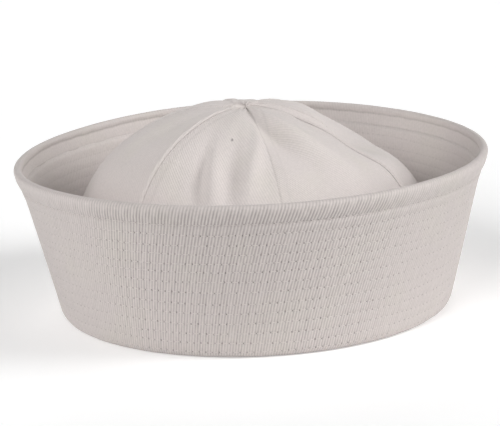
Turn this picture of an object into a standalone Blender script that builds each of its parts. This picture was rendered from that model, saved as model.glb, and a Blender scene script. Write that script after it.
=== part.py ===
"""A round sailor cap of white cotton drill: a soft crown of six gores inside a tall turned-up brim.

The cap rests on the fold of its brim, and its front faces -Y. Azimuths are in degrees from the front,
positive towards +X. Lengths are in metres.
"""

import math
from collections import namedtuple

import bmesh
import bpy
from mathutils import Vector

# Cloth
PLY = 0.0012  # one ply of drill
CLEARANCE = 0.0003  # between neighbouring pieces

# Crown
HEAD_GIRTH = 0.559  # inside the crown's foot
CROWN_HEIGHT = 0.1003  # apex above the surface that the cap rests on
CROWN_SIDE_FULLNESS = 3.05  # exponent of height in the crown's profile
CROWN_TOP_FULLNESS = 1.65  # exponent of radius in the crown's profile
CROWN_DIMPLE = 0.0022  # how far the gathered apex sinks
CROWN_DIMPLE_RADIUS = 0.016
CROWN_SHIFT_X = -0.0015  # the apex lies a little off the centre of the foot
CROWN_SHIFT_Y = 0.0007
CROWN_TILT = 0.041  # share of the height by which the +X shoulder sits lower
CROWN_HELD = 0.016  # the sewn foot holds the cloth smooth up to this height
GORE_PUFF = 0.0010  # how far a gore stands out between its seams
GORE_TIP_RADIUS = 0.0008
LAP_WIDTH = 0.0065  # felled seam
LAP_STEP = 0.0012
LAP_RISE = 0.0007

# Brim
BRIM_HEIGHT = 0.0757
RIM_WIDTH = 0.2298  # outer, side to side
RIM_LENGTH = 0.2360  # outer, front to back
RIM_FLARE = 0.0008  # the last stretch of the wall curls out this much more
RIM_FLARE_HEIGHT = 0.018
FOLD_RADIUS = 0.0055  # outer radius of the lower fold
FLANGE_LIP = 0.0016  # the flange shows this much inside the crown's foot
INNER_PLY_START = 15.0  # degrees round the fold where the inner ply begins

# Hem
HEM_HEIGHT = 0.0096
HEM_PROUD = 0.0005  # the hem stands this far out of each face of the wall
HEM_TOP_ROUND = 0.0016
HEM_FOOT_ROUND = 0.0006

# Mesh fineness
BRIM_SEGMENTS = 64
WALL_ROWS = 5
FOLD_ROWS = 4
CORNER_ROWS = 3
GORE_COLUMNS = 10
GORE_ROWS = 13

# Azimuths of the six seams, in order round the crown
SEAMS = (-41.0, 11.0, 68.0, 130.0, 191.0, 254.0)

# Slow waves along the rim: how many go round, the rise as a share of the brim's height, and a crest's azimuth
Sway = namedtuple("Sway", "turns rise crest")
SWAYS = (
    Sway(turns=1, rise=0.021, crest=16.0),
    Sway(turns=2, rise=0.011, crest=-4.0),
    Sway(turns=3, rise=0.006, crest=-53.0),
)

# Soft folds of the crown. The level is a share of the way from the foot to the apex, the spread is half a
# fold's width in degrees, the reach is half its length as a share of that way, the lean is the azimuth that
# it gains over the whole way, and the depth is a share of the crown's radius, negative if it stands out.
Fold = namedtuple("Fold", "azimuth level spread reach lean depth")
FOLDS = (
    Fold(azimuth=-20.0, level=0.42, spread=5.0, reach=0.16, lean=-20.0, depth=0.018),
    Fold(azimuth=-3.0, level=0.56, spread=8.0, reach=0.24, lean=8.0, depth=0.022),
    Fold(azimuth=-13.0, level=0.48, spread=5.0, reach=0.14, lean=0.0, depth=-0.010),
    Fold(azimuth=6.0, level=0.50, spread=4.0, reach=0.18, lean=0.0, depth=-0.010),
    Fold(azimuth=25.0, level=0.60, spread=6.0, reach=0.14, lean=-100.0, depth=0.014),
    Fold(azimuth=24.0, level=0.44, spread=9.0, reach=0.14, lean=0.0, depth=-0.012),
    Fold(azimuth=92.0, level=0.56, spread=24.0, reach=0.13, lean=0.0, depth=0.085),
    Fold(azimuth=78.0, level=0.41, spread=14.0, reach=0.08, lean=0.0, depth=-0.026),
    Fold(azimuth=110.0, level=0.78, spread=26.0, reach=0.14, lean=0.0, depth=-0.022),
    Fold(azimuth=-70.0, level=0.62, spread=16.0, reach=0.16, lean=0.0, depth=0.014),
    Fold(azimuth=160.0, level=0.52, spread=9.0, reach=0.22, lean=12.0, depth=0.020),
    Fold(azimuth=222.0, level=0.50, spread=8.0, reach=0.20, lean=-14.0, depth=0.018),
)

# Finishes: sRGB colour and roughness
Finish = namedtuple("Finish", "name colour roughness")
CROWN_DRILL = Finish("crown_drill", (0.90, 0.87, 0.86), 0.90)
BRIM_DRILL = Finish("brim_drill", (0.87, 0.84, 0.83), 0.92)
HEM_DRILL = Finish("hem_drill", (0.88, 0.85, 0.84), 0.92)

# Sizes that follow from the ones above
CROWN_RADIUS = HEAD_GIRTH / math.tau + PLY
CROWN_FOOT = PLY + CLEARANCE
FLANGE_INNER = CROWN_RADIUS - PLY - FLANGE_LIP
INNER_PLY_DEPTH = PLY + CLEARANCE
WALL_THICKNESS = INNER_PLY_DEPTH + PLY
RIM_RADIUS = (RIM_WIDTH + RIM_LENGTH) / 4 - HEM_PROUD - RIM_FLARE
RIM_OVAL = (RIM_LENGTH - RIM_WIDTH) / 4


def linear(channel):
    """One sRGB channel as a linear value."""
    return channel / 12.92 if channel <= 0.04045 else ((channel + 0.055) / 1.055) ** 2.4


def material_of(finish):
    """The Principled BSDF material of a finish, made once."""
    found = bpy.data.materials.get(finish.name)
    if found:
        return found
    made = bpy.data.materials.new(finish.name)
    made.use_nodes = True
    shader = made.node_tree.nodes["Principled BSDF"]
    shader.inputs["Base Color"].default_value = (*map(linear, finish.colour), 1.0)
    shader.inputs["Roughness"].default_value = finish.roughness
    shader.inputs["Metallic"].default_value = 0.0
    made.diffuse_color = (*finish.colour, 1.0)
    return made


def add_object(name, bm, finish, holder, collection):
    """Turns a bmesh into a named object of the cap, shaded smooth."""
    mesh = bpy.data.meshes.new(name)
    bm.to_mesh(mesh)
    bm.free()
    mesh.shade_smooth()
    mesh.set_sharp_from_angle(angle=math.radians(40))
    mesh.materials.append(material_of(finish))
    made = bpy.data.objects.new(name, mesh)
    made.parent = holder
    collection.objects.link(made)
    return made


def add_thickness(made):
    """Gives an outer face the thickness of one ply, towards its inner side."""
    solidify = made.modifiers.new("ply", "SOLIDIFY")
    solidify.thickness = PLY
    solidify.offset = -1.0
    solidify.use_even_offset = True
    solidify.use_rim = True


def smooth_step(value):
    """0 below 0, 1 above 1, and a smooth rise between."""
    share = min(1.0, max(0.0, value))
    return share * share * (3.0 - 2.0 * share)


# Brim


def wall_lean():
    """Angle of the wall from the vertical: the line from the rim that touches the fold's circle."""
    across = RIM_RADIUS - CROWN_RADIUS
    up = BRIM_HEIGHT - FOLD_RADIUS
    return math.atan2(across, up) - math.asin(FOLD_RADIUS / math.hypot(across, up))


def fold_point(turn, depth):
    """A point of the fold, turn radians round it from its lowest line, depth inside the outer face."""
    radius = FOLD_RADIUS - depth
    return CROWN_RADIUS + radius * math.sin(turn), FOLD_RADIUS - radius * math.cos(turn)


def wall_point(run, depth):
    """A point of the wall, run metres up from the end of the fold, depth inside the outer face."""
    lean = wall_lean()
    radius, height = fold_point(math.pi / 2 - lean, depth)
    return radius + run * math.sin(lean), height + run * math.cos(lean)


def wall_run():
    """Length of the wall from the end of the fold to the rim."""
    lean = wall_lean()
    return (BRIM_HEIGHT - FOLD_RADIUS * (1 - math.sin(lean))) / math.cos(lean)


def ply_profile(depth, first_turn):
    """Outer face of a ply of the brim, from first_turn round the fold up to the hem."""
    last_turn = math.pi / 2 - wall_lean()
    turns = [first_turn + (last_turn - first_turn) * row / FOLD_ROWS for row in range(FOLD_ROWS + 1)]
    top = wall_run() - HEM_HEIGHT - CLEARANCE
    runs = [top * row / WALL_ROWS for row in range(1, WALL_ROWS + 1)]
    return [fold_point(turn, depth) for turn in turns] + [wall_point(run, depth) for run in runs]


def hem_profile():
    """Closed outline of the hem: a flat band with a rounded top and softened lower corners."""
    outer, inner = -HEM_PROUD, WALL_THICKNESS + HEM_PROUD
    foot, top = wall_run() - HEM_HEIGHT, wall_run()
    corners = (
        (outer, foot, HEM_FOOT_ROUND, 180.0),
        (inner, foot, HEM_FOOT_ROUND, 270.0),
        (inner, top, HEM_TOP_ROUND, 0.0),
        (outer, top, HEM_TOP_ROUND, 90.0),
    )
    points = []
    for depth, run, round_radius, first in corners:
        across = depth + round_radius * (1 if depth == outer else -1)
        along = run + round_radius * (1 if run == foot else -1)
        for row in range(CORNER_ROWS + 1):
            angle = math.radians(first + 90.0 * row / CORNER_ROWS)
            points.append(
                wall_point(along + round_radius * math.sin(angle), across + round_radius * math.cos(angle))
            )
    return points


def shape_rim(point):
    """Moves a point of the round brim to its place on the oval, flared and slightly waved one."""
    azimuth = math.atan2(point.x, -point.y)
    lift = max(0.0, (point.z - FOLD_RADIUS) / (BRIM_HEIGHT - FOLD_RADIUS))
    flare = smooth_step(1.0 - (BRIM_HEIGHT - point.z) / RIM_FLARE_HEIGHT)
    out = RIM_OVAL * math.cos(2 * azimuth) * lift + RIM_FLARE * flare
    rise = sum(s.rise * math.cos(s.turns * (azimuth - math.radians(s.crest))) for s in SWAYS)
    radial = Vector((math.sin(azimuth), -math.cos(azimuth), 0.0))
    return point + radial * out + Vector((0.0, 0.0, rise * BRIM_HEIGHT * lift))


def turned(profile, closed):
    """A profile of (radius, height) points turned round the cap's axis and given the rim's shape."""
    bm = bmesh.new()
    verts = [bm.verts.new((radius, 0.0, height)) for radius, height in profile]
    pairs = list(zip(verts, verts[1:])) + ([(verts[-1], verts[0])] if closed else [])
    edges = [bm.edges.new(pair) for pair in pairs]
    bmesh.ops.spin(
        bm,
        geom=verts + edges,
        axis=(0, 0, 1),
        cent=(0, 0, 0),
        angle=math.tau,
        steps=BRIM_SEGMENTS,
        use_merge=True,
    )
    for vert in bm.verts:
        vert.co = shape_rim(vert.co)
    bmesh.ops.recalc_face_normals(bm, faces=bm.faces)
    outward = sum(face.normal.dot(face.calc_center_median().xy.to_3d()) for face in bm.faces)
    if outward < 0 and not closed:
        bmesh.ops.reverse_faces(bm, faces=bm.faces)
    return bm


def make_brim(holder, collection):
    """The two plies of the brim and the hem over them."""
    outer = [(FLANGE_INNER, 0.0)] + ply_profile(0.0, 0.0)
    inner = ply_profile(INNER_PLY_DEPTH, math.radians(INNER_PLY_START))
    add_thickness(add_object("brim_outer_ply", turned(outer, False), BRIM_DRILL, holder, collection))
    add_thickness(add_object("brim_inner_ply", turned(inner, False), BRIM_DRILL, holder, collection))
    add_object("rim_hem", turned(hem_profile(), True), HEM_DRILL, holder, collection)


# Crown


def crown_profile(level):
    """(radius, height) of the smooth crown, level from 0 at the foot to 1 at the apex."""
    angle = math.pi / 2 * min(1.0, max(0.0, level))
    span = CROWN_RADIUS - GORE_TIP_RADIUS
    radius = GORE_TIP_RADIUS + span * max(0.0, math.cos(angle)) ** (2 / CROWN_TOP_FULLNESS)
    height = CROWN_FOOT + (CROWN_HEIGHT - CROWN_FOOT) * math.sin(angle) ** (2 / CROWN_SIDE_FULLNESS)
    return radius, height


def crown_normal(level):
    """(outward, upward) unit direction square to the smooth crown's profile."""
    step = 0.01
    low_radius, low_height = crown_profile(max(0.0, level - step))
    high_radius, high_height = crown_profile(min(1.0, level + step))
    along = math.hypot(high_radius - low_radius, high_height - low_height)
    return (high_height - low_height) / along, (low_radius - high_radius) / along


def fold_depth(azimuth, level):
    """How far the soft folds take the crown inwards at a place on it."""
    depth = 0.0
    for fold in FOLDS:
        middle = fold.azimuth + fold.lean * (level - fold.level)
        across = ((azimuth - middle + 180.0) % 360.0 - 180.0) / fold.spread
        along = (level - fold.level) / fold.reach
        depth += fold.depth * math.exp(-(across**2) - along**2)
    return depth * CROWN_RADIUS


def crown_point(azimuth, level, raised):
    """A point of the crown's outer face, raised metres above the folded surface."""
    radius, height = crown_profile(level)
    out, up = crown_normal(level)
    raised = (raised - fold_depth(azimuth, level)) * smooth_step((height - CROWN_FOOT) / CROWN_HELD)
    turn = math.radians(azimuth)
    share = (height - CROWN_FOOT) / (CROWN_HEIGHT - CROWN_FOOT)
    height *= 1.0 - CROWN_TILT * math.sin(turn) * radius / CROWN_RADIUS * share
    height -= CROWN_DIMPLE * math.exp(-((radius / CROWN_DIMPLE_RADIUS) ** 2))
    radius += raised * out
    return Vector(
        (
            radius * math.sin(turn) + CROWN_SHIFT_X * share**2,
            -radius * math.cos(turn) + CROWN_SHIFT_Y * share**2,
            height + raised * up,
        )
    )


def gore_share(column, width):
    """Share of the way across a gore where a column of its mesh lies. Two columns bound the seam's lap."""
    lap = min(LAP_WIDTH / width, 0.25)
    step = min((LAP_WIDTH + LAP_STEP) / width, 0.34)
    if column == 0:
        return 0.0
    if column == 1:
        return lap
    return step + (1.0 - step) * (column - 2) / (GORE_COLUMNS - 2)


def make_gore(number, holder, collection):
    """One gore, from its seam's raised lap to the next seam."""
    first = SEAMS[number]
    last = SEAMS[(number + 1) % len(SEAMS)] + (360.0 if number + 1 == len(SEAMS) else 0.0)
    bm = bmesh.new()
    bmesh.ops.create_grid(bm, x_segments=GORE_COLUMNS, y_segments=GORE_ROWS, size=0.5)
    for vert in bm.verts:
        column = round((vert.co.x + 0.5) * GORE_COLUMNS)
        level = round((vert.co.y + 0.5) * GORE_ROWS) / GORE_ROWS
        radius, _ = crown_profile(level)
        margin = math.degrees(CLEARANCE / 2 / radius)
        width = radius * math.radians(last - first - 2 * margin)
        share = gore_share(column, width)
        azimuth = first + margin + (last - first - 2 * margin) * share
        rise = LAP_RISE if column <= 1 else 0.0
        slack = math.sin(math.pi * level) ** 0.5 * math.sin(math.pi * share)
        vert.co = crown_point(azimuth, level, rise * smooth_step(radius / LAP_WIDTH) + GORE_PUFF * slack)
    bmesh.ops.recalc_face_normals(bm, faces=bm.faces)
    if sum(face.normal.dot(face.calc_center_median()) for face in bm.faces) < 0:
        bmesh.ops.reverse_faces(bm, faces=bm.faces)
    add_thickness(add_object(f"crown_gore_{number + 1}", bm, CROWN_DRILL, holder, collection))


def clear_scene():
    """Removes every object of the open scene."""
    for found in list(bpy.data.objects):
        bpy.data.objects.remove(found, do_unlink=True)


def main():
    """Builds the cap."""
    clear_scene()
    collection = bpy.data.collections.new("sailor_cap")
    bpy.context.scene.collection.children.link(collection)
    holder = bpy.data.objects.new("cap", None)
    collection.objects.link(holder)
    make_brim(holder, collection)
    for number in range(len(SEAMS)):
        make_gore(number, holder, collection)


main()
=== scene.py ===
"""A sailor cap of white cotton drill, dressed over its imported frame.

The cap rests on the fold of its brim, and its front faces -Y. Azimuths are in degrees from the front,
positive towards +X. Travel is measured up the brim's cloth from the end of the lower fold, and it is
negative round the fold and on the flange. Depth is measured inwards from the brim's outer face. A level is a
share of the way from the crown's foot to its apex. Lengths are in metres.
"""

import logging
import math
from dataclasses import dataclass, field, replace
from enum import Enum
from typing import Callable, NamedTuple

import bmesh
import bpy
import numpy as np
from mathutils import Matrix, Vector


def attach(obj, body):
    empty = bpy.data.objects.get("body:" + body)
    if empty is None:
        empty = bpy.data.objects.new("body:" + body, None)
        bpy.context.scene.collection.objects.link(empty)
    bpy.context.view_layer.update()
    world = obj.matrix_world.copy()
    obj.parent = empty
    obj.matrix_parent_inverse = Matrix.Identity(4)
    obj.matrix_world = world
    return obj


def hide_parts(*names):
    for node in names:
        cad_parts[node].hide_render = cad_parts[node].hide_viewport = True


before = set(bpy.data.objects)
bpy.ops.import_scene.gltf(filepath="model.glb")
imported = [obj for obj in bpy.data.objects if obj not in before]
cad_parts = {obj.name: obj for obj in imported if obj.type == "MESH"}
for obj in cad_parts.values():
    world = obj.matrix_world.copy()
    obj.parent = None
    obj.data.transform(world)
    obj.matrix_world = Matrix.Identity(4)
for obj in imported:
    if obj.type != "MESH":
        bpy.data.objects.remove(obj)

LOG = logging.getLogger("sailor_cap")

HEAD_GIRTH = 0.559  # round the inside of the crown's foot
PLY = 0.0012  # one ply of drill
FOOT_RADIUS = HEAD_GIRTH / math.tau + PLY  # outer face of the crown's foot, over the brim's fold
STITCH = 0.00325  # a quilting stitch
TOUCH = 1e-7  # points this close are sewn into one

CLOTH_MAP = "cloth"  # UV map: metres round the cap, metres up the cloth
STITCH_MAP = "stitches"  # UV map: stitches along the row, metres beside the row
PIT = "needle_pit"  # how clearly the nearest needle hole's painted shade shows, from 0 to 1
CREVICE = "crevice"  # where the finish paints shade into the colour: 1 at the bottom of the groove between two ribs; creases, worn flat ribs and the crown's seams add to it

Tree = bpy.types.NodeTree
Socket = bpy.types.NodeSocket


class Slot(Enum):
    """The record's material slots."""

    CROWN = "crown_drill"
    BRIM = "brim_drill"
    HEM = "hem_drill"


# Small helpers


def linear_channel(channel: float) -> float:
    """One sRGB channel, from 0 to 1, as a linear value."""
    return channel / 12.92 if channel <= 0.04045 else ((channel + 0.055) / 1.055) ** 2.4


def linear(colour: str) -> tuple[float, float, float, float]:
    """An sRGB hex colour as a linear RGBA one.

    Args:
        colour: Six hex digits, such as "D9D1CE".

    Returns:
        Red, green, blue and an alpha of 1.
    """
    red, green, blue = (linear_channel(int(colour[start : start + 2], 16) / 255) for start in (0, 2, 4))
    return red, green, blue, 1.0


def smooth_step(value: np.ndarray) -> np.ndarray:
    """0 below 0, 1 above 1, and a smooth rise between."""
    share = np.clip(value, 0.0, 1.0)
    return share * share * (3.0 - 2.0 * share)


def bell(value: np.ndarray) -> np.ndarray:
    """A smooth hump, 1 at 0."""
    return np.exp(-(value**2))


def ramp(value: float, start: float, run: float) -> float:
    """0 up to a start, 1 past the run that follows it, and a smooth rise between."""
    return float(smooth_step(np.array((value - start) / run)))


def turn_between(azimuth: np.ndarray, middle: np.ndarray | float) -> np.ndarray:
    """Degrees from middle to azimuth, the short way round."""
    return (azimuth - middle + 180.0) % 360.0 - 180.0


def running_total(steps: np.ndarray) -> np.ndarray:
    """0, and then the sum of the steps so far."""
    return np.concatenate(((0.0,), np.cumsum(steps)))


def unit(vectors: np.ndarray) -> np.ndarray:
    """The directions of some vectors, one a row, at a length of 1."""
    return vectors / np.linalg.norm(vectors, axis=1, keepdims=True)


@dataclass(frozen=True)
class Wander:
    """Slow irregular waves that close on themselves round the cap.

    Attributes:
        seed: Picks the waves.
        slowest: Fewest waves round the cap.
        fastest: Most waves round the cap.
        count: How many waves are summed.
        climb: Radians by which a wave's phase may turn per metre of height.
    """

    seed: int
    slowest: int = 2
    fastest: int = 12
    count: int = 8
    climb: float = 40.0

    def at(self, azimuth: np.ndarray, height: np.ndarray | float = 0.0) -> np.ndarray:
        """Height of the waves, mostly between -1 and 1, at a place given in degrees and metres."""
        random = np.random.default_rng(self.seed)
        total = np.zeros(np.broadcast(azimuth, height).shape)
        for _ in range(self.count):
            turns = int(random.integers(self.slowest, self.fastest + 1))
            phase = random.uniform(0, math.tau)
            climb = random.uniform(-self.climb, self.climb)
            total += np.sin(turns * np.radians(azimuth) + climb * np.asarray(height) + phase)
        return total / math.sqrt(self.count)


# Meshes


class Grid(NamedTuple):
    """Where the points of a gridded mesh lie in it."""

    column: np.ndarray
    row: np.ndarray


class ClothMesh:
    """A gridded surface that is bent into place and closed on itself."""

    def __init__(self, name: str, columns: int, rows: int) -> None:
        """Makes a flat grid.

        Args:
            name: Name of the piece.
            columns: Faces across the grid.
            rows: Faces up the grid.
        """
        self.name = name
        self.columns = columns
        self.rows = rows
        self.mesh = bpy.data.meshes.new(name)
        bm = bmesh.new()
        bmesh.ops.create_grid(bm, x_segments=columns, y_segments=rows, size=0.5)
        bm.to_mesh(self.mesh)
        bm.free()
        flat = self._points()
        self.grid = Grid(
            np.rint((flat[:, 0] + 0.5) * columns).astype(int),
            np.rint((flat[:, 1] + 0.5) * rows).astype(int),
        )

    def _points(self) -> np.ndarray:
        """The mesh's points, one row each."""
        flat = np.empty(len(self.mesh.vertices) * 3, np.float32)
        self.mesh.vertices.foreach_get("co", flat)
        return flat.reshape(-1, 3).astype(float)

    def bend(self, points: np.ndarray) -> None:
        """Moves every point to its place."""
        self.mesh.vertices.foreach_set("co", points.astype(np.float32).ravel())
        self.mesh.update()

    def lay_out(self, name: str, across: np.ndarray, along: np.ndarray) -> None:
        """Lays out one of the piece's UV maps from two numbers at each point."""
        layer = self.mesh.uv_layers.new(name=name)
        corners = np.empty(len(self.mesh.loops), np.int32)
        self.mesh.loops.foreach_get("vertex_index", corners)
        layer.data.foreach_set("uv", np.stack((across, along), 1)[corners].astype(np.float32).ravel())

    def note(self, name: str, values: np.ndarray) -> None:
        """Keeps one number at each point for the finish to read."""
        self.mesh.attributes.new(name, "FLOAT", "POINT").data.foreach_set("value", values.astype(np.float32))

    def close(self, seams: Callable[[Grid], np.ndarray] | None = None, gap_rows: int = 0) -> bpy.types.Object:
        """Sews the grid's edges together, turns its faces outwards and makes its object.

        Args:
            seams: Picks the points that are sewn to those they touch, or None for a cloth left open.
            gap_rows: Where above 0, a row of faces is cut out after each this many, so that strips part.

        Returns:
            The piece's object.
        """
        bm = bmesh.new()
        bm.from_mesh(self.mesh)
        bm.verts.ensure_lookup_table()
        if gap_rows:
            rows = self.grid.row
            cut = [f for f in bm.faces if min(rows[v.index] for v in f.verts) % gap_rows == gap_rows - 1]
            bmesh.ops.delete(bm, geom=cut, context="FACES")
        if seams:
            chosen = seams(self.grid)
            bmesh.ops.remove_doubles(bm, verts=[v for v in bm.verts if chosen[v.index]], dist=TOUCH)
        bmesh.ops.recalc_face_normals(bm, faces=bm.faces)
        if bm.calc_volume(signed=True) < 0:
            bmesh.ops.reverse_faces(bm, faces=bm.faces)
        bm.to_mesh(self.mesh)
        bm.free()
        self.mesh.shade_smooth()
        made = bpy.data.objects.new(self.name, self.mesh)
        bpy.context.scene.collection.objects.link(made)
        return made

    def thicken(self, thickness: float) -> None:
        """Gives a cloth left open its thickness, towards the inside of the cap."""
        bm = bmesh.new()
        bm.from_mesh(self.mesh)
        if sum(face.normal.dot(face.calc_center_median()) for face in bm.faces) < 0:
            bmesh.ops.reverse_faces(bm, faces=bm.faces)
        bmesh.ops.solidify(bm, geom=list(bm.faces), thickness=thickness)
        crisp = math.radians(60.0)  # cut edges turn by more than this
        for edge in bm.edges:
            edge.smooth = edge.calc_face_angle(0.0) < crisp
        # Solidify may list the cut edges' faces in another order each time
        bm.faces.index_update()
        middles = [tuple(face.calc_center_median()) for face in bm.faces]
        order = sorted(range(len(middles)), key=middles.__getitem__)
        rank = dict(zip(order, range(len(order))))
        bm.faces.sort(key=lambda face: rank[face.index])
        bm.to_mesh(self.mesh)
        bm.free()


# Finishes


def fill_sockets(tree: Tree, node: bpy.types.Node, inputs: dict | tuple) -> None:
    """Gives a node's sockets their values and links.

    Args:
        tree: The material's node tree.
        node: The node.
        inputs: Values or other nodes' outputs, in the sockets' order or by their names or numbers.
    """
    for key, value in inputs.items() if isinstance(inputs, dict) else enumerate(inputs):
        if isinstance(value, Socket):
            tree.links.new(value, node.inputs[key])
        else:
            node.inputs[key].default_value = value


def add_node(
    tree: Tree, kind: str, inputs: dict | tuple = (), output: int | str = 0, **settings: object
) -> Socket:
    """Adds a node with its settings and links.

    Args:
        tree: The material's node tree.
        kind: The kind of node, such as "Math" for ShaderNodeMath.
        inputs: What goes into its sockets, as fill_sockets takes it.
        output: Name or number of the socket to hand back.
        **settings: The node's own settings by name.

    Returns:
        That socket.
    """
    node = tree.nodes.new(f"ShaderNode{kind}")
    for name, value in settings.items():
        setattr(node, name, value)
    fill_sockets(tree, node, inputs)
    return node.outputs[output]


@dataclass(frozen=True)
class DrillFinish:
    """Bleached cotton drill, which the eye sees as a matt, faintly fuzzy white with slanting twill lines.

    Attributes:
        name: Name of the material.
        colour: sRGB hex of the cloth.
        tint: sRGB hex of a warmer white that faint clouds lean to, as on washed cotton.
        cloud_size: Size of those clouds.
        crevice: Share of the colour darkened where the crevice attribute is 1, as painted shade in the groove
            between two ribs.
        pit: Share of the colour darkened in a needle hole, as painted shade.
        hole_pitch: Distance between two needle holes, or 0 for cloth without stitch rows.
        hole_radius: Radius of a needle hole.
        twill_pitch: Distance between two twill lines.
        twill_lean: Degrees by which twill lines lean from the cloth's length.
        twill_height: Height of the twill lines.
        twill_shade: Share of the colour darkened between two twill lines, as painted shade.
        thread_pitch: Distance between two threads of the weave.
        thread_height: Height of a thread.
        yarn_size: Size of lighter and darker bits of yarn, which are drawn coarser than a thread to show.
        fuzz_size: Size of the fuzz's tufts, which are drawn coarser than real fibres to show.
        fuzz_height: Height of the fuzz.
        roughness: Roughness of the cloth.
        gloss: Level of the mirrored light, low as on all dry cotton.
        sheen: Weight of the fuzz that catches light at a glancing angle.
        speck: Middle of a tiny dark fleck in the cloth's face, or None.
        speck_radius: Radius of that fleck.
    """

    name: str
    colour: str = "C9C1BE"
    tint: str = "C8C2BB"
    cloud_size: float = 0.02632
    crevice: float = 0.36
    pit: float = 0.7
    hole_pitch: float = 0.0
    hole_radius: float = 0.00042
    twill_pitch: float = 0.0012
    twill_lean: float = 29.0
    twill_height: float = 0.00003
    twill_shade: float = 0.0
    thread_pitch: float = 0.00042
    thread_height: float = 0.00002
    yarn_size: float = 0.001111
    fuzz_size: float = 0.0007143
    fuzz_height: float = 0.00005
    roughness: float = 0.92
    gloss: float = 0.2
    sheen: float = 0.12
    speck: tuple[float, float, float] | None = None
    speck_radius: float = 0.0007

    def _lines(self, tree: Tree, axis: Socket, pitch: float) -> Socket:
        """Rounded lines across an axis, from 0 in the grooves to 1 on the crests."""
        angle = add_node(tree, "Math", (axis, math.tau / pitch), operation="MULTIPLY")
        sine = add_node(tree, "Math", (angle,), operation="SINE")
        return add_node(tree, "Math", (sine, 0.5, 0.5), operation="MULTIPLY_ADD")

    def _needle_holes(self, tree: Tree) -> Socket:
        """1 in the round needle holes along the rows of stitches and 0 elsewhere: where their painted shade
        goes.
        """
        pitch = self.hole_pitch
        full, gone = self.hole_radius * 0.55, self.hole_radius * 1.2  # a hole's rim is soft
        stitches = add_node(tree, "UVMap", uv_map=STITCH_MAP)
        counted, beside = (add_node(tree, "SeparateXYZ", (stitches,), axis) for axis in "XY")
        part = add_node(tree, "Math", (counted,), operation="FRACT")
        along = add_node(tree, "Math", (part, pitch, -pitch / 2), operation="MULTIPLY_ADD")
        offset = add_node(tree, "CombineXYZ", (along, beside))
        away = add_node(tree, "VectorMath", (offset,), "Value", operation="LENGTH")
        hole = add_node(tree, "MapRange", (away, full, gone, 1.0, 0.0))
        shown = add_node(tree, "Attribute", output="Fac", attribute_name=PIT)
        return add_node(tree, "Math", (hole, shown), operation="MULTIPLY")

    def _fleck(self, tree: Tree, place: Socket) -> Socket:
        """Share of light kept in and around the dark fleck, which goes a little way into the cloth."""
        full, gone, kept = self.speck_radius * 0.4, self.speck_radius * 1.1, 0.42
        squashed = (1.0, 0.2, 1.0)
        scaled = add_node(tree, "VectorMath", (place, squashed), operation="MULTIPLY")
        middle = tuple(axis * share for axis, share in zip(self.speck, squashed))
        away = add_node(tree, "VectorMath", (scaled, middle), "Value", operation="DISTANCE")
        return add_node(tree, "MapRange", (away, full, gone, kept, 1.0))

    def _tinted(self, tree: Tree, place: Socket) -> Socket:
        """The cloth's colour with faint clouds of a warmer white."""
        thin, thick, warmest = 0.48, 0.72, 0.45  # where a cloud begins and is full, and its share of tint
        noise = {"Vector": place, "Scale": 1 / self.cloud_size, "Detail": 2.0, "Roughness": 0.5}
        clouds = add_node(tree, "TexNoise", noise, "Fac")
        patches = add_node(tree, "MapRange", (clouds, thin, thick, 0.0, warmest))
        mixed = {0: patches, 6: linear(self.colour), 7: linear(self.tint)}
        return add_node(tree, "Mix", mixed, 2, data_type="RGBA")

    def _light(self, tree: Tree, place: Socket, twill: Socket) -> Socket:
        """Share of light kept over uneven yarns and the fleck, with painted shade in grooves, needle holes
        and between twill lines.
        """
        # The noise's usual range, and the light kept at its two ends
        low, high, dark_yarn, light_yarn = 0.3, 0.7, 0.965, 1.03
        noise = {"Vector": place, "Scale": 1 / self.yarn_size, "Detail": 1.0}
        yarns = add_node(tree, "TexNoise", noise, "Fac")
        # Painted shade in grooves, creases and seams, from the crevice attribute
        losses = [(add_node(tree, "Attribute", output="Fac", attribute_name=CREVICE), self.crevice)]
        # Painted shade in the needle holes
        if self.hole_pitch:
            losses.append((self._needle_holes(tree), self.pit))
        kept = [add_node(tree, "MapRange", (amount, 0.0, 1.0, 1.0, 1.0 - loss)) for amount, loss in losses]
        # Painted shade between the twill lines
        kept.append(add_node(tree, "MapRange", (twill, 0.0, 1.0, 1.0 - self.twill_shade, 1.0)))
        if self.speck:
            kept.append(self._fleck(tree, place))
        light = add_node(tree, "MapRange", (yarns, low, high, dark_yarn, light_yarn))
        for share in kept:
            light = add_node(tree, "Math", (light, share), operation="MULTIPLY")
        return light

    def _relief(self, tree: Tree, place: Socket, woven: tuple[tuple, ...]) -> Socket:
        """Lean of the surface over the weave, given as patterns with their heights, and over the fuzz."""
        noise = {"Vector": place, "Scale": 1 / self.fuzz_size, "Detail": 2.0}
        fuzz = add_node(tree, "TexNoise", noise, "Fac")
        fuzz_strength = 0.6
        under = {}
        for pattern, height, strength in (*woven, (fuzz, self.fuzz_height, fuzz_strength)):
            bump = {"Height": pattern, "Distance": height, "Strength": strength}
            under = {"Normal": add_node(tree, "Bump", bump | under)}
        return under["Normal"]

    def make(self) -> bpy.types.Material:
        """Makes the material."""
        material = bpy.data.materials.new(self.name)
        material.use_nodes = True
        tree = material.node_tree
        cloth = add_node(tree, "UVMap", uv_map=CLOTH_MAP)
        place = add_node(tree, "TexCoord", output="Object")

        # Slanting twill lines, and the finer threads that cross them
        across, up = (add_node(tree, "SeparateXYZ", (cloth,), axis) for axis in "XY")
        lean = math.radians(self.twill_lean)
        level = add_node(tree, "Math", (across, math.cos(lean)), operation="MULTIPLY")
        slanted = add_node(tree, "Math", (up, math.sin(lean), level), operation="MULTIPLY_ADD")
        twill = self._lines(tree, slanted, self.twill_pitch)
        threads = self._lines(tree, up, self.thread_pitch)
        woven = ((threads, self.thread_height, 1.0), (twill, self.twill_height, 1.0))

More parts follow.
